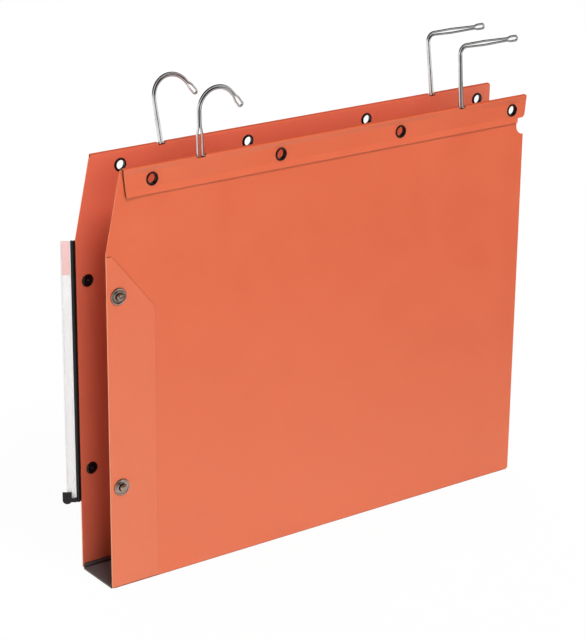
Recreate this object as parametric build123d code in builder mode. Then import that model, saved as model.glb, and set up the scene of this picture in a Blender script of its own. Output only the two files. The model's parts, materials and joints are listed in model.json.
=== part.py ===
from build123d import *
import os
from math import cos, radians, sin, tan

# Folder: two upright card panels on a flat base strip, in millimetres
panel_width = 330.0
panel_height = 275.0
folder_depth = 36.0
card_thickness = 0.5
cut_overrun = 5.0

# Base strip, with a turned-up flange glued inside each panel
base_thickness = 1.0
flange_height = 3.2
flange_inset = 0.5
crease_gap = 0.2

# Panel outline: slanted upper left corner, notch in the right edge below the fold
slant_width = 11.0
slant_height = 52.0
panel_corner_radius = 2.0
notch_drop = 16.0
notch_depth = 6.0
notch_height = 11.8
notch_straight = 4.8
notch_corner_radius = 0.8
tab_corner_radius = 2.8

# Top fold: the card turns over to the outside as a flap, pinched at the eyelets that hold it
flap_height = 19.0
flap_gap = 0.6
flap_end_lift = 0.8
flap_end_inset = 1.2
flap_end_slant = 2.3
pinch_margin = 0.6
pinched_share = 0.2
middle_share = 0.6
open_share = 0.9

# Hem: second layer of card on the outside of the left edge
hem_width = 34.0
hem_drop = 2.0
hem_slant_height = 37.0
hem_slant_start = 3.5
hem_corner_radius = 8.0

# Hook wire, its feet in the fold and the slots that it comes out of
wire_diameter = 1.5
wire_clearance = 0.15
strand_gap = 0.1
leg_straight = 14.0
leg_join = 18.5
leg_bend = 0.8
join_bend = 12.0
foot_reach = 12.0
slot_depth = 2.0
slot_clearance = 1.5
slot_bottom_share = 0.75
slot_bottom_radius = 1.2

# Eye at the tip of each hook
eye_width = 3.1
eye_length = 8.6
eye_flare = 3.0
eye_bend = 2.5
eye_end_share = 0.95

# Left hooks: swan necks, each leaning in its fold
front_neck_place = 67.5
rear_neck_place = 63.5
front_neck_angle = -2.0
rear_neck_angle = 15.0
front_neck_spread = 3.5
rear_neck_spread = 1.9
neck_rise = 41.0
crest_bend = 13.7
crest_straight = 0.1
crest_turn = 53.0
tip_straight = 2.0

# Right hooks: L shapes with a long arm, each leaning in its fold
front_arm_inset = 56.3
rear_arm_inset = 50.5
front_arm_angle = -4.5
rear_arm_angle = 8.5
arm_spread = 2.0
arm_rise = 40.5
arm_bend = 5.5
arm_slope = -0.5
arm_reach = 40.5
arm_swell = 2.6
arm_swell_bend = 60.0
arm_swell_share = 0.5

# Eyelets through the fold, with a washer on the inside
eyelet_count = 4
eyelet_first = 33.0
eyelet_last = 11.4
eyelet_drop = 9.8
eyelet_bore = 6.0
eyelet_wall = 0.4
eyelet_flange = 8.5
eyelet_dome = 0.8
eyelet_rim = 7.4
eyelet_rim_height = 0.4
washer_thickness = 0.4
washer_edge_share = 0.5
washer_top_share = 0.85
rivet_fit = 0.05
dome_shares = ((1.0, 0.3), (0.75, 0.9), (0.5, 1.0), (0.2, 0.7), (0.0, 0.0))

# Press studs on the left edge: male in front, sockets behind
stud_inset = 8.0
stud_low = 69.0
stud_drop = 28.0
stud_flange = 10.8
stud_flange_thickness = 0.9
stud_post = 4.5
stud_neck = 3.9
stud_height = 3.4
stud_bead_height = 2.2
flange_shares = (
    (1.0, 0.0),
    (1.0, 0.6),
    (0.96, 0.9),
    (0.9, 1.0),
    (0.84, 0.9),
    (0.78, 0.5),
    (0.63, 0.45),
    (0.56, 0.75),
    (0.49, 0.85),
    (0.43, 0.6),
)
post_shares = ((1.0, 0.15), (1.0, 0.55), (0.93, 0.78), (0.75, 0.93), (0.45, 1.0), (0.0, 1.0))
rivet_shank = 2.6
rivet_hole = 1.6
rivet_reach = 1.0
rivet_cap = 8.0
rivet_cap_height = 0.8
rivet_cap_top_share = 0.75
rivet_cap_edge_share = 0.4

# Sockets: bowl with a ring spring in a groove
socket_height = 3.2
socket_floor = 1.1
socket_rim = 9.0
socket_clearance = 0.1
spring_wire = 0.6
spring_groove_depth = 0.75
spring_groove_height = 0.9
spring_clearance = 0.1
spring_turn = 310.0
socket_hole = 1.5

# Label holder on the rear panel's left edge: rail, clip, clear sleeve, paper insert and foot
label_low = 50.0
label_drop = 1.0
rail_thickness = 0.8
rail_reach = 0.6
rail_clearance = 0.3
bead_diameter = 1.6
bead_clearance = 0.12
clip_wall = 0.35
clip_opening = 140.0
sleeve_angle = 35.0
sleeve_swing = 80.0
sleeve_width = 6.1
sleeve_thickness = 1.6
slot_thickness = 0.8
slot_wall = 0.4
insert_thickness = 0.3
insert_clearance = 0.2
foot_height = 2.5
tab_width = 5.8
tab_height = 8.1
tab_overhang = 2.7
tab_drop = 1.4
tab_thickness = 0.8
tab_radius = 2.8

# Places that follow from the sizes
left_edge = -panel_width / 2
right_edge = panel_width / 2
outer_face = folder_depth / 2
inner_face = outer_face - card_thickness
double_face = outer_face + card_thickness
fold_gap = wire_diameter + 2 * wire_clearance
fold_radius = fold_gap / 2 + card_thickness
fold_middle = inner_face + fold_radius
fold_face = inner_face + 2 * fold_radius
crown_height = panel_height - fold_radius
fold_left = left_edge + slant_width
flap_left = fold_left + flap_end_inset
slant_low = panel_height - slant_height
flap_low = panel_height - flap_height
flap_face = double_face + flap_gap
through_cut = fold_face - inner_face + 2 * cut_overrun
eyelet_height = panel_height - eyelet_drop
eyelet_start = left_edge + eyelet_first
eyelet_pitch = (panel_width - eyelet_first - eyelet_last) / (eyelet_count - 1)
eyelet_xs = [eyelet_start + eyelet_pitch * index for index in range(eyelet_count)]
eyelet_places = [(eyelet_x, eyelet_height) for eyelet_x in eyelet_xs]
stud_x = left_edge + stud_inset
stud_places = [(stud_x, stud_low), (stud_x, slant_low - stud_drop)]
front_neck_x = left_edge + front_neck_place
rear_neck_x = left_edge + rear_neck_place
front_arm_x = right_edge - front_arm_inset
rear_arm_x = right_edge - rear_arm_inset
barrel_radius = eyelet_bore / 2 + eyelet_wall
rivet_bore = rivet_shank / 2 + rivet_fit
strand_half = (wire_diameter + strand_gap) / 2


def front(depth, height):
    """Point of a cross-section: distance of the front panel's face from the middle, and height."""
    return (-depth, height)


def turned(outline, places, side):
    """Rings turned about an axis through a panel, from an outline of radius and distance from the middle."""
    with BuildPart() as rings:
        for x, z in places:
            with BuildSketch(Plane(origin=(x, 0, z), x_dir=(1, 0, 0), z_dir=(0, 0, 1))):
                with BuildLine():
                    Polyline(*[(radius, side * depth) for radius, depth in outline], close=True)
                make_face()
            revolve(axis=Axis((x, 0, z), (0, 1, 0)))
    return rings.part


def beside(run, gaps):
    """Corners of a run, each shifted to the left of it by its own gap."""
    shifted = []
    for index, corner in enumerate(run):
        before = run[max(index - 1, 0)]
        after = run[min(index + 1, len(run) - 1)]
        legs = [leg.normalized() for leg in (corner - before, after - corner) if leg.length > 0]
        normals = [Vector(-leg.Y, leg.X) for leg in legs]
        mitre = (normals[0] + normals[-1]) / (1 + normals[0].dot(normals[-1]))
        shifted.append(corner + mitre * gaps[index])
    return shifted


def hook(place, angle, spread, run, gaps, outer_bends, inner_bends):
    """Hairpin of wire, leaning outwards: a foot and a leg on each side, two strands, an eye at its tip."""
    heading = (run[-1] - run[-2]).normalized()
    aside = Vector(-heading.Y, heading.X)
    eye_half = eye_width / 2
    eye_corners = [
        run[-1] + heading * eye_flare + aside * eye_half,
        run[-1] + heading * eye_length + aside * eye_half,
        run[-1] + heading * eye_length - aside * eye_half,
        run[-1] + heading * eye_flare - aside * eye_half,
    ]
    eye_end = eye_half * eye_end_share
    leg = Vector(spread / 2, 0)
    foot = leg + Vector(foot_reach, 0)
    stem = Vector(0, leg_straight)
    outer = [-foot, -leg, stem - leg, *beside(run, gaps)]
    inner = [foot, leg, stem + leg, *beside(run, [-gap for gap in gaps])]
    corners = [*outer, *eye_corners, *reversed(inner)]
    outer_turns = [leg_bend, join_bend, *outer_bends, eye_bend, eye_end]
    inner_turns = [leg_bend, join_bend, *inner_bends, eye_bend, eye_end]
    bends = [*outer_turns, *reversed(inner_turns)]
    facing = (0, -cos(radians(angle)), -sin(radians(angle)))
    fold_plane = Plane(origin=(place, -fold_middle, crown_height), x_dir=(1, 0, 0), z_dir=facing)
    with BuildPart() as wire:
        with BuildLine(fold_plane) as strands:
            FilletPolyline(*[(corner.X, corner.Y) for corner in corners], radius=bends)
        with BuildSketch(Plane(origin=strands.line @ 0, z_dir=strands.line % 0)):
            Circle(wire_diameter / 2)
        sweep()
    return wire.part


# The flap bulges over the hooks' feet and at its ends, and is pressed in where the eyelets pinch it
pinch_half = eyelet_flange / 2 + pinch_margin
bulge_low = eyelet_height - pinch_half
bulge_top = eyelet_height + pinch_half
bulge_reach = (fold_face - double_face) * (bulge_top - flap_low) / (crown_height - flap_low)
pinch_face = double_face + bulge_reach * pinched_share


def panel(hook_places):
    """Panel on the front side, with the fold along its top and a slot for each of its hooks."""
    flap_stations = [
        (fold_left, open_share, flap_end_lift),
        (0, middle_share, 0),
        (right_edge, open_share, 0),
    ]
    for eyelet_x in eyelet_xs:
        for station_x in (eyelet_x - pinch_half, eyelet_x + pinch_half):
            flap_stations.append((station_x, pinched_share, 0))
    for hook_x, spread in hook_places:
        feet_half = spread / 2 + foot_reach
        for station_x in (hook_x - feet_half, hook_x + feet_half):
            flap_stations.append((station_x, open_share, 0))
    with BuildPart() as sheet:
        with BuildSketch(Plane.YZ.offset(fold_left)):
            with BuildLine():
                ThreePointArc(
                    front(inner_face, crown_height),
                    front(fold_middle, panel_height),
                    front(fold_face, crown_height),
                )
                Line(front(fold_face, crown_height), front(fold_face - card_thickness, crown_height))
                ThreePointArc(
                    front(fold_face - card_thickness, crown_height),
                    front(fold_middle, panel_height - card_thickness),
                    front(outer_face, crown_height),
                )
                Line(front(outer_face, crown_height), front(inner_face, crown_height))
            make_face()
        extrude(amount=right_edge - fold_left)
        # Flap, standing off at its left end
        for station_x, bulge_share, lift in sorted(flap_stations):
            bulge_face = double_face + bulge_reach * bulge_share
            with BuildSketch(Plane.YZ.offset(station_x)):
                with BuildLine():
                    Polyline(
                        front(fold_face, crown_height),
                        front(bulge_face, bulge_top),
                        front(pinch_face + lift, bulge_low),
                        front(flap_face + lift, flap_low),
                        front(flap_face + lift - card_thickness, flap_low),
                        front(pinch_face + lift - card_thickness, bulge_low),
                        front(bulge_face - card_thickness, bulge_top),
                        front(fold_face - card_thickness, crown_height),
                        close=True,
                    )
                make_face()
        loft(ruled=True)
        # The flap's left end slants inwards
        with BuildSketch(Plane.XZ.offset(inner_face - cut_overrun)):
            with BuildLine():
                Polyline(
                    (fold_left - cut_overrun, panel_height),
                    (flap_left, panel_height),
                    (flap_left + flap_end_slant, flap_low),
                    (flap_left + flap_end_slant, flap_low - cut_overrun),
                    (fold_left - cut_overrun, flap_low - cut_overrun),
                    close=True,
                )
            make_face()
        extrude(amount=through_cut, mode=Mode.SUBTRACT)
        # Rounded corners at both ends of the crown
        corner_side = fold_radius + cut_overrun
        with BuildSketch(Plane.XZ.offset(inner_face - cut_overrun)):
            corner_places = ((flap_left + fold_radius, Align.MAX), (right_edge - fold_radius, Align.MIN))
            for end_x, outwards in corner_places:
                with Locations((end_x, crown_height)):
                    Rectangle(corner_side, corner_side, align=(outwards, Align.MIN))
                    Circle(fold_radius, mode=Mode.SUBTRACT)
        extrude(amount=through_cut, mode=Mode.SUBTRACT)
        # Main sheet
        with BuildSketch(Plane.XZ.offset(inner_face)):
            with BuildLine():
                Polyline(
                    (left_edge, crease_gap),
                    (right_edge, crease_gap),
                    (right_edge, crown_height),
                    (fold_left, crown_height),
                    (left_edge, slant_low),
                    close=True,
                )
            make_face()
            fillet(vertices().group_by(Axis.Y)[0], radius=panel_corner_radius)
        extrude(amount=card_thickness)
        # Notch in the right edge, with the fold's end rounded above it
        notch_top = panel_height - notch_drop
        notch_left = right_edge - notch_depth
        notch_low = notch_top - notch_height
        notch_turn = notch_top - notch_corner_radius - notch_straight
        notch_x = notch_left + notch_corner_radius
        tab_x = right_edge - tab_corner_radius
        with BuildSketch(Plane.XZ.offset(inner_face - cut_overrun)):
            with BuildLine():
                CenterArc((tab_x, notch_top + tab_corner_radius), tab_corner_radius, 270, 90)
                Line((tab_x, notch_top), (notch_x, notch_top))
                CenterArc((notch_x, notch_top - notch_corner_radius), notch_corner_radius, 90, 90)
                Line((notch_left, notch_top - notch_corner_radius), (notch_left, notch_turn))
                TangentArc((notch_left, notch_turn), (right_edge, notch_low), tangent=(0, -1))
                Polyline(
                    (right_edge, notch_low),
                    (right_edge + cut_overrun, notch_low),
                    (right_edge + cut_overrun, notch_top + tab_corner_radius),
                    (right_edge, notch_top + tab_corner_radius),
                )
            make_face()
        extrude(amount=through_cut, mode=Mode.SUBTRACT)
        # Holes for the eyelets and the stud rivets
        with BuildSketch(Plane.XZ.offset(inner_face - cut_overrun)):
            with Locations(*eyelet_places):
                Circle(barrel_radius + rivet_fit)
            with Locations(*stud_places):
                Circle(rivet_bore)
        extrude(amount=through_cut, mode=Mode.SUBTRACT)
        # Slots in the crown for the hooks
        with BuildSketch(Plane.XZ.offset(inner_face - cut_overrun)):
            for slot_x, spread in hook_places:
                slot_top = spread / 2 + leg_bend + slot_clearance
                slot_bottom = slot_top * slot_bottom_share
                with BuildLine():
                    Polyline(
                        (slot_x - slot_top, panel_height + cut_overrun),
                        (slot_x - slot_top, panel_height),
                        (slot_x - slot_bottom, panel_height - slot_depth),
                        (slot_x + slot_bottom, panel_height - slot_depth),
                        (slot_x + slot_top, panel_height),
                        (slot_x + slot_top, panel_height + cut_overrun),
                        close=True,
                    )
                make_face()
            fillet(vertices().group_by(Axis.Y)[0], radius=slot_bottom_radius)
        extrude(amount=through_cut, mode=Mode.SUBTRACT)
    return sheet.part


# Both panels, the rear one on the front side until it is mirrored
front_panel = panel(((front_neck_x, front_neck_spread), (front_arm_x, arm_spread)))
rear_twin = panel(((rear_neck_x, rear_neck_spread), (rear_arm_x, arm_spread)))

# Hem on the outside of the front panel's left edge
with BuildPart() as front_edge_hem:
    hem_top = slant_low - hem_drop
    with BuildSketch(Plane.XZ.offset(outer_face)):
        with BuildLine():
            Polyline(
                (left_edge, crease_gap + base_thickness),
                (left_edge + hem_width, crease_gap + base_thickness),
                (left_edge + hem_width, hem_top - hem_slant_height),
                (left_edge + hem_slant_start, hem_top),
                (left_edge, hem_top),
                close=True,
            )
        make_face()
        fillet(vertices().group_by(Axis.X)[-1].sort_by(Axis.Y)[-1], radius=hem_corner_radius)
        with Locations(*stud_places):
            Circle(rivet_bore, mode=Mode.SUBTRACT)
    extrude(amount=card_thickness)

# Base strip: the floor between the panels
flange_face = inner_face - card_thickness
base_depth = 2 * (flange_face - crease_gap)
with BuildPart() as base_strip:
    Box(panel_width, base_depth, base_thickness, align=(Align.CENTER, Align.CENTER, Align.MIN))

# Flange: the strip's turned-up edge inside the front panel
with BuildPart() as front_base_flange:
    with BuildSketch(Plane.XZ.offset(flange_face)):
        with Locations((0, 2 * crease_gap)):
            Rectangle(panel_width - 2 * flange_inset, flange_height, align=(Align.CENTER, Align.MIN))
    extrude(amount=card_thickness)

# Hooks in both folds, built on the front panel's side
tip_bend = crest_bend * tan(radians(crest_turn / 2))
crest = Vector(crest_bend + crest_straight + tip_bend, neck_rise)
tip_heading = Vector(cos(radians(crest_turn)), -sin(radians(crest_turn)))
tip = crest + tip_heading * (tip_bend + tip_straight)
neck_run = [Vector(0, leg_join), Vector(0, neck_rise), crest, tip]
front_left_hook, rear_left_hook = [
    hook(
        neck_x,
        angle,
        spread,
        neck_run,
        [strand_half] * len(neck_run),
        [join_bend, crest_bend + strand_half, crest_bend + strand_half, eye_bend],
        [join_bend, crest_bend - strand_half, crest_bend - strand_half, eye_bend],
    )
    for neck_x, angle, spread in (
        (front_neck_x, front_neck_angle, front_neck_spread),
        (rear_neck_x, rear_neck_angle, rear_neck_spread),
    )
]
arm_corner = Vector(0, arm_rise)
arm_heading = Vector(cos(radians(arm_slope)), sin(radians(arm_slope)))
arm_run = [
    Vector(0, leg_join),
    arm_corner,
    arm_corner + arm_heading * (arm_reach * arm_swell_share),
    arm_corner + arm_heading * arm_reach,
]
front_right_hook, rear_right_hook = [
    hook(
        arm_x,
        angle,
        arm_spread,
        arm_run,
        [strand_half, strand_half, arm_swell / 2, strand_half],
        [join_bend, arm_bend + strand_half, arm_swell_bend, eye_bend],
        [join_bend, arm_bend - strand_half, arm_swell_bend, eye_bend],
    )
    for arm_x, angle in ((front_arm_x, front_arm_angle), (rear_arm_x, rear_arm_angle))
]

# Eyelets and their washers in the front panel's fold
washer_face = inner_face - washer_thickness
rim_end = washer_face - eyelet_rim_height
eyelet_ring = eyelet_flange / 2 - eyelet_bore / 2
eyelet_outline = [
    (eyelet_bore / 2, rim_end),
    (eyelet_rim / 2, rim_end),
    (eyelet_rim / 2, washer_face),
    (barrel_radius, washer_face),
    (barrel_radius, pinch_face),
    (eyelet_flange / 2, pinch_face),
    *[(eyelet_bore / 2 + eyelet_ring * out, pinch_face + eyelet_dome * up) for out, up in dome_shares],
]
washer_outline = [
    (barrel_radius + rivet_fit, inner_face),
    (eyelet_flange / 2, inner_face),
    (eyelet_flange / 2, inner_face - washer_thickness * washer_edge_share),
    (eyelet_flange / 2 * washer_top_share, washer_face),
    (barrel_radius + rivet_fit, washer_face),
]
front_eyelets = turned(eyelet_outline, eyelet_places, -1)
front_eyelet_washers = turned(washer_outline, eyelet_places, -1)

# Male studs on the front hem, held by rivets from the inside
stud_tip = double_face + stud_height
bead_low = stud_tip - stud_bead_height
rivet_end = double_face + rivet_reach
stud_outline = [
    (rivet_bore, double_face),
    *[
        (stud_flange / 2 * out, double_face + stud_flange_thickness * up)
        for out, up in flange_shares
    ],
    (stud_neck / 2, double_face + stud_flange_thickness / 2),
    (stud_neck / 2, bead_low),
    *[(stud_post / 2 * out, bead_low + stud_bead_height * up) for out, up in post_shares],
    (0, rivet_end),
    (rivet_bore, rivet_end),
]
rivet_outline = [
    (rivet_hole / 2, inner_face - rivet_cap_height),
    (rivet_cap / 2 * rivet_cap_top_share, inner_face - rivet_cap_height),
    (rivet_cap / 2, inner_face - rivet_cap_height * rivet_cap_edge_share),
    (rivet_cap / 2, inner_face),
    (rivet_shank / 2, inner_face),
    (rivet_shank / 2, rivet_end),
    (rivet_hole / 2, rivet_end),
]
front_studs = turned(stud_outline, stud_places, -1)
front_stud_rivets = turned(rivet_outline, stud_places, -1)

# Sockets on the rear hem, with their caps and ring springs
socket_bore = stud_post / 2 + socket_clearance
socket_tip = double_face + socket_height
socket_base = double_face + socket_floor
groove_middle = (socket_base + socket_tip) / 2
groove_low = groove_middle - spring_groove_height / 2
groove_top = groove_middle + spring_groove_height / 2
groove_radius = socket_bore + spring_groove_depth
socket_outline = [
    (rivet_bore, double_face),
    (stud_flange / 2, double_face),
    (stud_flange / 2, double_face + stud_flange_thickness),
    (socket_rim / 2, socket_tip),
    (socket_bore, socket_tip),
    (socket_bore, groove_top),
    (groove_radius, groove_top),
    (groove_radius, groove_low),
    (socket_bore, groove_low),
    (socket_bore, socket_base),
    (socket_hole / 2, socket_base),
    (socket_hole / 2, rivet_end),
    (rivet_bore, rivet_end),
]
rear_sockets = turned(socket_outline, stud_places, 1)
rear_socket_caps = turned(rivet_outline, stud_places, 1)
spring_radius = groove_radius - spring_clearance - spring_wire / 2
with BuildPart() as socket_springs:
    for stud_place_x, stud_place_z in stud_places:
        with BuildSketch(Plane(origin=(stud_place_x, 0, stud_place_z), x_dir=(1, 0, 0), z_dir=(0, 0, 1))):
            with Locations((spring_radius, groove_middle)):
                Circle(spring_wire / 2)
        revolve(axis=Axis((stud_place_x, 0, stud_place_z), (0, 1, 0)), revolution_arc=spring_turn)

# Label rail: a strip glued to the rear hem, with a bead along its free edge
label_length = slant_low - label_drop - label_low
rail_lap = stud_inset - stud_flange / 2 - rail_clearance
rail_middle = double_face + rail_thickness / 2
bead_x = left_edge - rail_reach - bead_diameter / 2
foot_low = label_low - foot_height
with BuildPart() as label_rail:
    with BuildSketch(Plane.XY.offset(foot_low)):
        with Locations((bead_x, rail_middle)):
            Rectangle(left_edge + rail_lap - bead_x, rail_thickness, align=(Align.MIN, Align.CENTER))
            Circle(bead_diameter / 2)
    extrude(amount=label_length + foot_height)

# Label clip: a profile that snaps over the rail's bead and turns on it
sleeve_heading = (-cos(radians(sleeve_angle)), sin(radians(sleeve_angle)), 0)
sleeve_plane = Plane(origin=(bead_x, rail_middle, 0), x_dir=sleeve_heading, z_dir=(0, 0, 1))
clip_inner = bead_diameter / 2 + bead_clearance
clip_outer = clip_inner + clip_wall
opening_side = clip_outer + cut_overrun
opening_corners = [
    (
        -opening_side * cos(radians(sleeve_swing / 2 + clip_opening * turn)),
        -opening_side * sin(radians(sleeve_swing / 2 + clip_opening * turn)),
    )
    for turn in (-1 / 2, 0, 1 / 2)
]
with BuildPart() as label_clip:
    with BuildSketch(sleeve_plane.offset(foot_low)):
        Circle(clip_outer)
        Rectangle(clip_outer, sleeve_thickness, align=(Align.MIN, Align.CENTER))
        Circle(clip_inner, mode=Mode.SUBTRACT)
        with BuildLine():
            Polyline((0, 0), *opening_corners, close=True)
        make_face(mode=Mode.SUBTRACT)
    extrude(amount=label_length + foot_height)

# Label sleeve: a clear flat tube along the clip
sleeve_end = clip_outer + sleeve_width
slot_start = clip_outer + slot_wall
slot_width = sleeve_width - 2 * slot_wall
with BuildPart() as label_sleeve:
    with BuildSketch(sleeve_plane.offset(label_low)):
        with Locations((clip_outer, 0)):
            Rectangle(sleeve_width, sleeve_thickness, align=(Align.MIN, Align.CENTER))
        with Locations((slot_start, 0)):
            Rectangle(slot_width, slot_thickness, align=(Align.MIN, Align.CENTER), mode=Mode.SUBTRACT)
    extrude(amount=label_length)

# Label insert: a plain paper strip in the slot
with BuildPart() as label_insert:
    with BuildSketch(sleeve_plane.offset(label_low + insert_clearance)):
        with Locations((slot_start + insert_clearance, 0)):
            Rectangle(
                slot_width - 2 * insert_clearance, insert_thickness, align=(Align.MIN, Align.CENTER)
            )
    extrude(amount=label_length - 2 * insert_clearance)

# Label foot: a bar that closes the sleeve's lower end, with a rounded tab in front of its corner
tab_face = sleeve_thickness / 2 + tab_thickness
sleeve_back = (sin(radians(sleeve_angle)), cos(radians(sleeve_angle)), 0)
tab_plane = Plane(origin=(bead_x, rail_middle, foot_low), x_dir=sleeve_heading, z_dir=sleeve_back)
with BuildPart() as label_foot:
    with BuildSketch(sleeve_plane.offset(foot_low)):
        with Locations((clip_outer, -sleeve_thickness / 2)):
            Rectangle(sleeve_width, sleeve_thickness / 2 + tab_face, align=(Align.MIN, Align.MIN))
    extrude(amount=foot_height)
    with BuildSketch(tab_plane.offset(-tab_face)):
        with Locations((sleeve_end + tab_overhang, -tab_drop)):
            Rectangle(tab_width, tab_height, align=(Align.MAX, Align.MIN))
        fillet(vertices().group_by(Axis.Y)[0], radius=tab_radius)
    extrude(amount=tab_thickness)


def mirrored(piece):
    """The rear panel's copy of a front piece."""
    with BuildPart() as twin:
        mirror(piece, about=Plane.XZ)
    return twin.part


pieces = {
    "base_strip": base_strip.part,
    "front_panel": front_panel,
    "front_edge_hem": front_edge_hem.part,
    "front_base_flange": front_base_flange.part,
    "front_left_hook": front_left_hook,
    "front_right_hook": front_right_hook,
    "front_eyelets": front_eyelets,
    "front_eyelet_washers": front_eyelet_washers,
    "front_studs": front_studs,
    "front_stud_rivets": front_stud_rivets,
    "rear_panel": mirrored(rear_twin),
    "rear_edge_hem": mirrored(front_edge_hem.part),
    "rear_base_flange": mirrored(front_base_flange.part),
    "rear_left_hook": mirrored(rear_left_hook),
    "rear_right_hook": mirrored(rear_right_hook),
    "rear_eyelets": mirrored(front_eyelets),
    "rear_eyelet_washers": mirrored(front_eyelet_washers),
    "rear_sockets": rear_sockets,
    "rear_socket_caps": rear_socket_caps,
    "socket_springs": socket_springs.part,
    "label_rail": label_rail.part,
    "label_clip": label_clip.part,
    "label_sleeve": label_sleeve.part,
    "label_insert": label_insert.part,
    "label_foot": label_foot.part,
}
os.makedirs("parts", exist_ok=True)
for name, piece in pieces.items():
    piece.label = name
    export_step(piece, f"parts/{name}.step")
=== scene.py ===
import json
import math

import bpy
from mathutils import Matrix, Vector

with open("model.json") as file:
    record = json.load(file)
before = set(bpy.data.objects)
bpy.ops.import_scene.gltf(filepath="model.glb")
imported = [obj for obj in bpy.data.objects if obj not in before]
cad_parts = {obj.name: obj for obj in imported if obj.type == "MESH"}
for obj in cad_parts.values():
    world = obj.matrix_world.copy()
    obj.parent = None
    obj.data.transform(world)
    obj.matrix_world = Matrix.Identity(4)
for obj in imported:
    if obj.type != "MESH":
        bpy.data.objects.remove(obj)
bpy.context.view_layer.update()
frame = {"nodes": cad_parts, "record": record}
nodes = frame["nodes"]
scene = bpy.context.scene

MM = 0.001

# Inputs and output of a Mix node that mixes colours
MIX_FACTOR = 0
MIX_FIRST = 6
MIX_SECOND = 7
MIX_RESULT = 2

# Parts of a noise's range: nearly all of it, and what two tones are mixed over
NOISE_BODY = (0.3, 0.7)
NOISE_TONES = (0.35, 0.7)

# How far the openness of a surface is looked at
CREASE_REACH = 2.0 * MM
GROOVE_REACH = 1.0 * MM
OPENNESS_SAMPLES = 8


# Node trees

def srgb(red, green, blue):
    """Linear colour of an 8-bit screen colour."""
    linear = []
    for value in (red, green, blue):
        share = value / 255
        linear.append(share / 12.92 if share <= 0.04045 else ((share + 0.055) / 1.055) ** 2.4)
    return (*linear, 1.0)


class Graph:
    """A node tree and short calls for its nodes."""

    def __init__(self, tree):
        self.tree = tree

    def put(self, node, values):
        """Set a node's inputs, by name or number, to sockets or plain values."""
        for key, value in values.items():
            if isinstance(value, bpy.types.NodeSocket):
                self.tree.links.new(value, node.inputs[key])
            else:
                node.inputs[key].default_value = value

    def node(self, kind, values, **settings):
        made = self.tree.nodes.new("ShaderNode" + kind)
        for key, value in settings.items():
            setattr(made, key, value)
        self.put(made, values)
        return made

    def coords(self, which):
        return self.node("TexCoord", {}).outputs[which]

    def split(self, vector):
        return self.node("SeparateXYZ", {"Vector": vector}).outputs

    def stretched(self, vector, scale):
        return self.node("Mapping", {"Vector": vector, "Scale": scale}).outputs["Vector"]

    def noise(self, vector, scale, detail, roughness=0.55):
        values = {"Vector": vector, "Scale": scale, "Detail": detail, "Roughness": roughness}
        return self.node("TexNoise", values).outputs["Fac"]

    def span(self, value, low, high, to_low=0.0, to_high=1.0, interpolation="LINEAR"):
        """Map from one range to another, clamped at its ends."""
        values = {
            "Value": value,
            "From Min": low,
            "From Max": high,
            "To Min": to_low,
            "To Max": to_high,
        }
        return self.node("MapRange", values, interpolation_type=interpolation).outputs["Result"]

    def smooth(self, value, low, high, to_low, to_high):
        return self.span(value, low, high, to_low, to_high, "SMOOTHSTEP")

    def math(self, operation, *numbers):
        return self.node("Math", dict(enumerate(numbers)), operation=operation).outputs["Value"]

    def mix(self, factor, first, second):
        values = {MIX_FACTOR: factor, MIX_FIRST: first, MIX_SECOND: second}
        return self.node("Mix", values, data_type="RGBA").outputs[MIX_RESULT]

    def openness(self, reach, only_local=False):
        """1 on open faces, less in creases and grooves."""
        settings = {"samples": OPENNESS_SAMPLES, "only_local": only_local}
        return self.node("AmbientOcclusion", {"Distance": reach}, **settings).outputs["AO"]

    def ray_shares(self):
        """Two outputs: 1 for camera rays, and 1 for glossy and transmission rays."""
        rays = self.node("LightPath", {}).outputs
        bounced = self.math("MAXIMUM", rays["Is Glossy Ray"], rays["Is Transmission Ray"])
        return rays["Is Camera Ray"], bounced


class Look(Graph):
    """A material and short calls for its shader."""

    def __init__(self, name, **values):
        self.material = bpy.data.materials.new(name)
        self.material.use_nodes = True
        super().__init__(self.material.node_tree)
        self.shader = self.tree.nodes["Principled BSDF"]
        self.put(self.shader, values)

    def paint(self, colour, noise, smoothest, roughest):
        """Set the colour, and a roughness that follows a noise."""
        roughness = self.span(noise, *NOISE_BODY, smoothest, roughest)
        self.put(self.shader, {"Base Color": colour, "Roughness": roughness})

    def bump(self, height, strength, depth):
        values = {"Height": height, "Strength": strength, "Distance": depth}
        self.put(self.shader, {"Normal": self.node("Bump", values).outputs["Normal"]})


# Materials

CARD_IOR = 1.7
CARD_SHEEN = (1.0, 0.95, 0.6, 1.0)
# Pale tone for random specks, and the painted highlight on side-facing cut edges
CARD_SPECK_AND_EDGE_HIGHLIGHT = srgb(240, 150, 108)
# Dark painted shade for creases, under the flap's edge and at steps
CARD_CREASE_SHADE = srgb(104, 14, 2)
DEEP_SHADE = srgb(34, 8, 4)
CLOUD_ROUGHNESS = 0.1
DULLED_ROUGHNESS = 0.5
FIBRE_STRETCH = (260.0, 900.0, 900.0)
FIBRE_RELIEF = 0.7
SPECK_RELIEF = 0.3

# Where each of the card's tones sets in and is full: parts of a noise's range, of a face's
# direction and of its openness
FIBRE_SPAN = (0.35, 0.75)
SPECK_SPAN = (0.62, 0.8)
INNER_FACING = (-0.5, -0.9)
UPPER_FACING = (0.1, 0.7)
EDGE_FACING = (0.6, 0.9)
CREASE_OPENNESS = (0.8, 0.56)
DEEP_OPENNESS = (0.6, 0.4)

# The largest share of each tone
FIBRE_SHARE = 0.16
SPECK_SHARE = 0.12
TOP_SHADE_SHARE = 0.8
EDGE_SHARE = 0.8
DEEP_SHARE = 0.8

# Other looks: stretch of the draw lines, and openness of grooves and hollows that get painted shade
PLASTIC_STRETCH = (2200.0, 2200.0, 40.0)
SLEEVE_STRETCH = (1500.0, 1500.0, 25.0)
GROOVE_OPENNESS = (0.95, 0.55)
HOLLOW_OPENNESS = (0.85, 0.4)
HOLLOW_SHARE = 0.9

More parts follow.
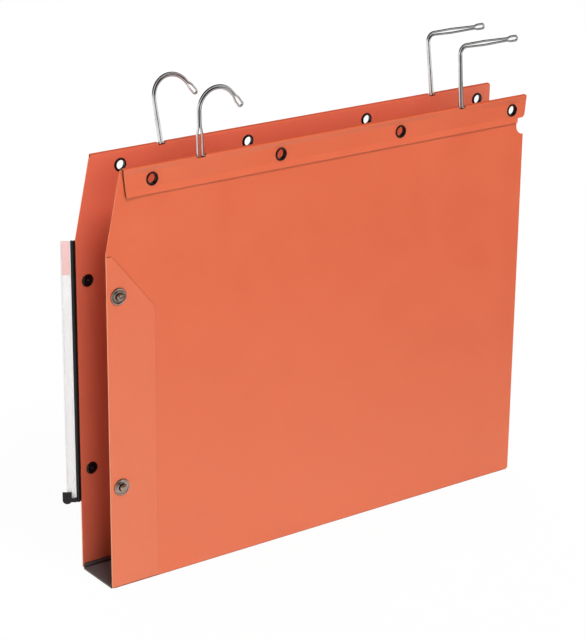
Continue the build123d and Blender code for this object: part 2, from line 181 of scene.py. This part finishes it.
# Direction across the sleeve, in which its narrow edges face
SLEEVE_TURN = math.radians(35)
SLEEVE_HEADING = (-math.cos(SLEEVE_TURN), math.sin(SLEEVE_TURN), 0.0)

# Heights between which the label turns from white to pink
LABEL_HEAD = (0.1997, 0.1999)


def card_look(name, main, pale, inner_painted_sheen, speck_and_edge_highlight, painted_top_shade, crease_shade, rough, gloss):
    """Smooth kraft card: clouds, fibres, a painted sheen inside, painted edge highlights, painted
    shade atop folds and in creases.
    """
    values = {"IOR": CARD_IOR, "Specular IOR Level": gloss, "Specular Tint": CARD_SHEEN}
    look = Look(name, **values)
    place = look.coords("Object")
    clouds = look.noise(place, scale=40.0, detail=4.0)
    fibres = look.noise(look.stretched(place, FIBRE_STRETCH), scale=1.0, detail=5.0, roughness=0.65)
    specks = look.noise(place, scale=1900.0, detail=2.0)
    tone = look.mix(look.span(clouds, *NOISE_BODY), main, pale)
    tone = look.mix(look.span(fibres, *FIBRE_SPAN, to_high=FIBRE_SHARE), tone, pale)
    tone = look.mix(look.span(specks, *SPECK_SPAN, to_high=SPECK_SHARE), tone, speck_and_edge_highlight)

    # The folder's two halves lie on either side of Y = 0, so an inner face looks back to that plane
    facing = look.split(look.coords("Normal"))
    side = look.math("SIGN", look.split(place)["Y"])
    outwards = look.math("MULTIPLY", side, facing["Y"])
    # Painted sheen: inner faces get a paler, pinker tone that stands in for the sheen and light
    # they show
    tone = look.mix(look.span(outwards, *INNER_FACING), tone, inner_painted_sheen)
    # Painted shade: upward-facing faces, the fold tops, get a darker tone that hides their
    # highlight
    upwards = look.span(facing["Z"], *UPPER_FACING, to_high=TOP_SHADE_SHARE)
    tone = look.mix(upwards, tone, painted_top_shade)
    # Painted highlight: side-facing cut edges get a paler tone that stands in for light from the
    # side
    sideways = look.math("ABSOLUTE", facing["X"])
    tone = look.mix(look.span(sideways, *EDGE_FACING, to_high=EDGE_SHARE), tone, speck_and_edge_highlight)

    # Painted shade: where the surface is closed in, in creases, under the flap's edge and at steps,
    # the tone darkens, and deep hollows darken further
    openness = look.openness(CREASE_REACH)
    crease_shade_mask = look.span(openness, *CREASE_OPENNESS)
    tone = look.mix(crease_shade_mask, tone, crease_shade)
    deep = look.span(openness, *DEEP_OPENNESS, to_high=DEEP_SHARE)
    tone = look.mix(deep, tone, DEEP_SHADE)

    # Faces with painted shade in creases or on fold tops are also made rougher
    wear_and_painted_shade = look.math("MAXIMUM", crease_shade_mask, upwards)
    dulled = look.span(wear_and_painted_shade, 0.0, 1.0, to_high=DULLED_ROUGHNESS)
    cloudy = look.span(clouds, *NOISE_BODY, rough, rough + CLOUD_ROUGHNESS)
    roughness = look.math("ADD", cloudy, dulled)
    look.put(look.shader, {"Base Color": tone, "Roughness": roughness})
    fibre_relief = look.math("MULTIPLY", fibres, FIBRE_RELIEF)
    speck_relief = look.math("MULTIPLY", specks, SPECK_RELIEF)
    look.bump(look.math("ADD", fibre_relief, speck_relief), strength=0.14, depth=0.1 * MM)
    return look.material


def wire_look():
    """Bright plated steel wire, dulled in places, with painted shade where two wires touch."""
    bright, dull, dark = srgb(234, 232, 231), srgb(212, 210, 210), srgb(52, 49, 50)
    look = Look("hook_wire", Metallic=1.0)
    place = look.coords("Object")
    drawn = look.noise(place, scale=6000.0, detail=2.0)
    patches = look.noise(place, scale=160.0, detail=3.0)
    tone = look.mix(look.span(patches, *NOISE_TONES), bright, dull)
    # Painted shade: where the wires close in on each other the tone darkens
    openness = look.openness(GROOVE_REACH, only_local=True)
    tone = look.mix(look.span(openness, *GROOVE_OPENNESS, to_high=HOLLOW_SHARE), tone, dark)
    look.paint(tone, patches, smoothest=0.05, roughest=0.1)
    look.bump(drawn, strength=0.02, depth=0.01 * MM)
    return look.material


def enamel_look():
    """Black stove-enamelled metal, faintly orange-peeled."""
    black, rubbed = srgb(14, 13, 14), srgb(34, 31, 32)
    look = Look("eyelet_metal", **{"Specular IOR Level": 0.3})
    place = look.coords("Object")
    peel = look.noise(place, scale=1400.0, detail=2.0)
    wear_and_painted_shade = look.noise(place, scale=420.0, detail=4.0)
    tone = look.mix(look.span(wear_and_painted_shade, 0.55, 0.75, to_high=0.5), black, rubbed)
    look.paint(tone, wear_and_painted_shade, smoothest=0.18, roughest=0.32)
    look.bump(peel, strength=0.06, depth=0.04 * MM)
    return look.material


def gunmetal_look():
    """Dark nickel-plated stud metal, grained, with painted shade in its hollows."""
    bright, dull, dark = srgb(184, 164, 152), srgb(154, 136, 125), srgb(44, 34, 29)
    look = Look("stud_metal", Metallic=0.92)
    place = look.coords("Object")
    grain = look.noise(place, scale=2600.0, detail=2.0)
    patches = look.noise(place, scale=300.0, detail=3.0)
    tone = look.mix(look.span(patches, *NOISE_TONES), bright, dull)
    # Painted shade: hollows and ring grooves darken
    openness = look.openness(CREASE_REACH)
    tone = look.mix(look.span(openness, *HOLLOW_OPENNESS, to_high=HOLLOW_SHARE), tone, dark)
    look.paint(tone, patches, smoothest=0.14, roughest=0.26)
    look.bump(grain, strength=0.05, depth=0.04 * MM)
    return look.material


def plastic_look():
    """Satin black extruded plastic with faint draw lines and dust."""
    black, dusty = srgb(20, 18, 19), srgb(40, 37, 37)
    look = Look("black_plastic", **{"Specular IOR Level": 0.3})
    place = look.coords("Object")
    lines = look.noise(look.stretched(place, PLASTIC_STRETCH), scale=1.0, detail=2.0)
    dust = look.noise(place, scale=700.0, detail=3.0)
    tone = look.mix(look.span(dust, 0.5, 0.8, to_high=0.6), black, dusty)
    look.paint(tone, lines, smoothest=0.34, roughest=0.46)
    look.bump(lines, strength=0.08, depth=0.06 * MM)
    return look.material


def clear_look():
    """Clear extruded plastic with faint draw lines, and painted grey shade, nearly solid, on its
    narrow edges.
    """
    pale, line, grey = srgb(244, 246, 247), srgb(226, 230, 232), srgb(92, 90, 90)
    look = Look("clear_plastic", IOR=1.5)
    place = look.coords("Object")
    lines = look.noise(look.stretched(place, SLEEVE_STRETCH), scale=1.0, detail=2.0)
    tone = look.mix(look.span(lines, *NOISE_TONES), pale, line)
    # Painted shade: faces turned across the sleeve, its narrow edges, go grey and nearly solid
    values = {0: look.coords("Normal"), 1: SLEEVE_HEADING}
    heading = look.node("VectorMath", values, operation="DOT_PRODUCT").outputs["Value"]
    edgewise = look.span(look.math("ABSOLUTE", heading), 0.5, 0.9)
    look.paint(look.mix(edgewise, tone, grey), lines, smoothest=0.06, roughest=0.16)
    solidity = look.span(edgewise, 0.0, 1.0, to_low=0.1, to_high=0.9)
    look.put(look.shader, {"Alpha": solidity})
    look.bump(lines, strength=0.1, depth=0.05 * MM)
    return look.material


def paper_look():
    """White label paper with a pale pink head."""
    look = Look("label_paper")
    place = look.coords("Object")
    fibres = look.noise(place, scale=1300.0, detail=4.0)
    mottle = look.span(fibres, *NOISE_TONES)
    white = look.mix(mottle, srgb(246, 245, 245), srgb(250, 249, 249))
    pink = look.mix(mottle, srgb(243, 186, 182), srgb(247, 200, 196))
    head = look.span(look.split(place)["Z"], *LABEL_HEAD)
    look.paint(look.mix(head, white, pink), fibres, smoothest=0.5, roughest=0.62)
    look.bump(fibres, strength=0.06, depth=0.05 * MM)
    return look.material


orange_card = card_look(
    "orange_card",
    main=srgb(219, 91, 57),
    pale=srgb(222, 95, 61),
    inner_painted_sheen=srgb(228, 110, 84),
    speck_and_edge_highlight=CARD_SPECK_AND_EDGE_HIGHLIGHT,
    painted_top_shade=srgb(190, 78, 48),
    crease_shade=CARD_CREASE_SHADE,
    rough=0.38,
    gloss=0.9,
)
# Hem card: a paler copy of the orange card, its lighter tone a painted sheen
hem_card = card_look(
    "hem_card",
    main=srgb(220, 99, 67),
    pale=srgb(223, 103, 71),
    inner_painted_sheen=srgb(222, 102, 69),
    speck_and_edge_highlight=CARD_SPECK_AND_EDGE_HIGHLIGHT,
    painted_top_shade=srgb(190, 82, 54),
    crease_shade=CARD_CREASE_SHADE,
    rough=0.38,
    gloss=0.9,
)
dark_card = card_look(
    "dark_card",
    main=srgb(94, 86, 86),
    pale=srgb(106, 98, 98),
    inner_painted_sheen=srgb(98, 90, 90),
    speck_and_edge_highlight=srgb(118, 110, 108),
    painted_top_shade=srgb(104, 97, 97),
    crease_shade=srgb(48, 40, 40),
    rough=0.5,
    gloss=0.4,
)
looks = {
    "orange_card": orange_card,
    "dark_card": dark_card,
    "hook_wire": wire_look(),
    "eyelet_metal": enamel_look(),
    "stud_metal": gunmetal_look(),
    "black_plastic": plastic_look(),
    "clear_plastic": clear_look(),
    "label_paper": paper_look(),
}
for subpart in frame["record"]["subparts"]:
    piece = nodes[subpart["node"]]
    piece.data.materials.clear()
    hemmed = subpart["node"].endswith("_hem")
    piece.data.materials.append(hem_card if hemmed else looks[subpart["material_slot"]])

# Floor: white to the camera, with the folder's soft shadow. Glossy rays see a painted pool of light
# that fades to the front and the right, and a painted bright rim on the left.

FLOOR_SIZE = 8.0
FLOOR_DROP = 0.2 * MM
FLOOR_COLOUR = (0.88, 0.88, 0.88, 1.0)
FLOOR_PLAIN = 0.96
POOL_SIDE = -0.15
POOL_WIDTH = 0.95
POOL_NEAR = 0.05
POOL_FAR = 0.75
POOL_EDGE = 0.12
RIM_NEAR = 0.1
RIM_FAR = 0.3
RIM = 0.85

floor_mesh = bpy.data.meshes.new("floor")
half = FLOOR_SIZE / 2
floor_corners = [(-half, -half, 0), (half, -half, 0), (half, half, 0), (-half, half, 0)]
floor_mesh.from_pydata(floor_corners, [], [(0, 1, 2, 3)])
floor = bpy.data.objects.new("floor", floor_mesh)
floor.location.z = -FLOOR_DROP
scene.collection.objects.link(floor)


def floor_look():
    """Matt floor that glows white to the camera and, in places, to glossy rays."""
    material = bpy.data.materials.new("floor")
    material.use_nodes = True
    graph = Graph(material.node_tree)
    graph.tree.nodes.clear()
    place = graph.split(graph.coords("Object"))
    rightwards = graph.math("SUBTRACT", place["X"], POOL_SIDE)
    aside = graph.math("MULTIPLY", graph.math("MAXIMUM", rightwards, 0.0), POOL_WIDTH)
    ahead = graph.math("MAXIMUM", graph.math("MULTIPLY", place["Y"], -1.0), 0.0)
    squares = [graph.math("MULTIPLY", length, length) for length in (aside, ahead)]
    away = graph.math("SQRT", graph.math("ADD", *squares))
    pool = graph.smooth(away, POOL_NEAR, POOL_FAR, 1.0, POOL_EDGE)
    leftwards = graph.math("MULTIPLY", place["X"], -1.0)
    rim = graph.smooth(leftwards, RIM_NEAR, RIM_FAR, 0.0, RIM)
    seen, bounced = graph.ray_shares()
    strength = graph.math("MAXIMUM", seen, graph.math("MAXIMUM", pool, rim))
    share = graph.math("MULTIPLY", graph.math("MAXIMUM", seen, bounced), FLOOR_PLAIN)
    matt = graph.node("BsdfDiffuse", {"Color": FLOOR_COLOUR}).outputs["BSDF"]
    glow = graph.node("Emission", {"Strength": strength}).outputs["Emission"]
    blend = graph.node("MixShader", {0: share, 1: matt, 2: glow}).outputs["Shader"]
    graph.node("OutputMaterial", {"Surface": blend})
    return material


floor_mesh.materials.append(floor_look())

# World: white to the camera at the horizon, weak light on the folder, dark overhead in reflections

AMBIENT = 0.12
GLOSS_SHARE = 0.9
SKY_LOW = 0.15
SKY_HIGH = 0.5
ZENITH = 0.05
WHITE = (1.0, 1.0, 1.0, 1.0)

world = bpy.data.worlds.new("studio")
scene.world = world
world.use_nodes = True
studio = Graph(world.node_tree)
height = studio.split(studio.coords("Generated"))["Z"]
sky = studio.smooth(height, SKY_LOW, SKY_HIGH, 1.0, ZENITH)
seen, bounced = studio.ray_shares()
plain = studio.math("MAXIMUM", seen, studio.math("MULTIPLY", bounced, GLOSS_SHARE))
level = studio.smooth(plain, 0.0, 1.0, AMBIENT, 1.0)
strength = studio.math("MULTIPLY", level, sky)
studio.put(world.node_tree.nodes["Background"], {"Color": WHITE, "Strength": strength})

# Lamps

LAMP_AIM = Vector((0, 0, 0.14))


def lamp(name, place, size, power):
    """Soft rectangular lamp, left out of reflections."""
    light = bpy.data.lights.new(name, "AREA")
    light.shape = "RECTANGLE"
    light.size, light.size_y = size
    light.energy = power
    holder = bpy.data.objects.new(name, light)
    holder.location = place
    holder.rotation_euler = (LAMP_AIM - Vector(place)).to_track_quat("-Z", "Y").to_euler()
    holder.visible_glossy = False
    scene.collection.objects.link(holder)


lamp("key", place=(-0.2, -1.5, 0.6), size=(1.2, 0.7), power=5.5)
lamp("top", place=(-0.1, -1.4, 2.1), size=(1.4, 0.7), power=48.0)
lamp("side", place=(-1.5, 0.1, 0.5), size=(0.8, 0.8), power=9.0)
lamp("far", place=(1.5, 0.4, 0.5), size=(0.8, 0.8), power=7.0)
lamp("back", place=(0.4, 1.5, 0.64), size=(1.6, 0.8), power=20.0)

# Camera

AZIMUTH = math.radians(-36.17)
ELEVATION = math.radians(20.15)
ROLL = math.radians(0.6)
TARGET = Vector((-0.01255, 0.0, 0.14434))
DISTANCE = 1.47205
FOCUS_PIXELS = 2250.82
PICTURE_HEIGHT = 640
SENSOR_WIDTH = 36.0
NEAREST = 0.05

camera_data = bpy.data.cameras.new("camera")
camera_data.sensor_width = SENSOR_WIDTH
camera_data.lens = FOCUS_PIXELS * SENSOR_WIDTH / PICTURE_HEIGHT
camera_data.clip_start = NEAREST
camera = bpy.data.objects.new("camera", camera_data)
to_camera = Vector(
    (
        math.sin(AZIMUTH) * math.cos(ELEVATION),
        -math.cos(AZIMUTH) * math.cos(ELEVATION),
        math.sin(ELEVATION),
    )
)
aim = (-to_camera).to_track_quat("-Z", "Y")
camera.rotation_mode = "QUATERNION"
camera.rotation_quaternion = aim @ Matrix.Rotation(ROLL, 3, "Z").to_quaternion()
camera.location = TARGET + to_camera * DISTANCE
scene.collection.objects.link(camera)
scene.camera = camera
scene.view_settings.view_transform = "Standard"
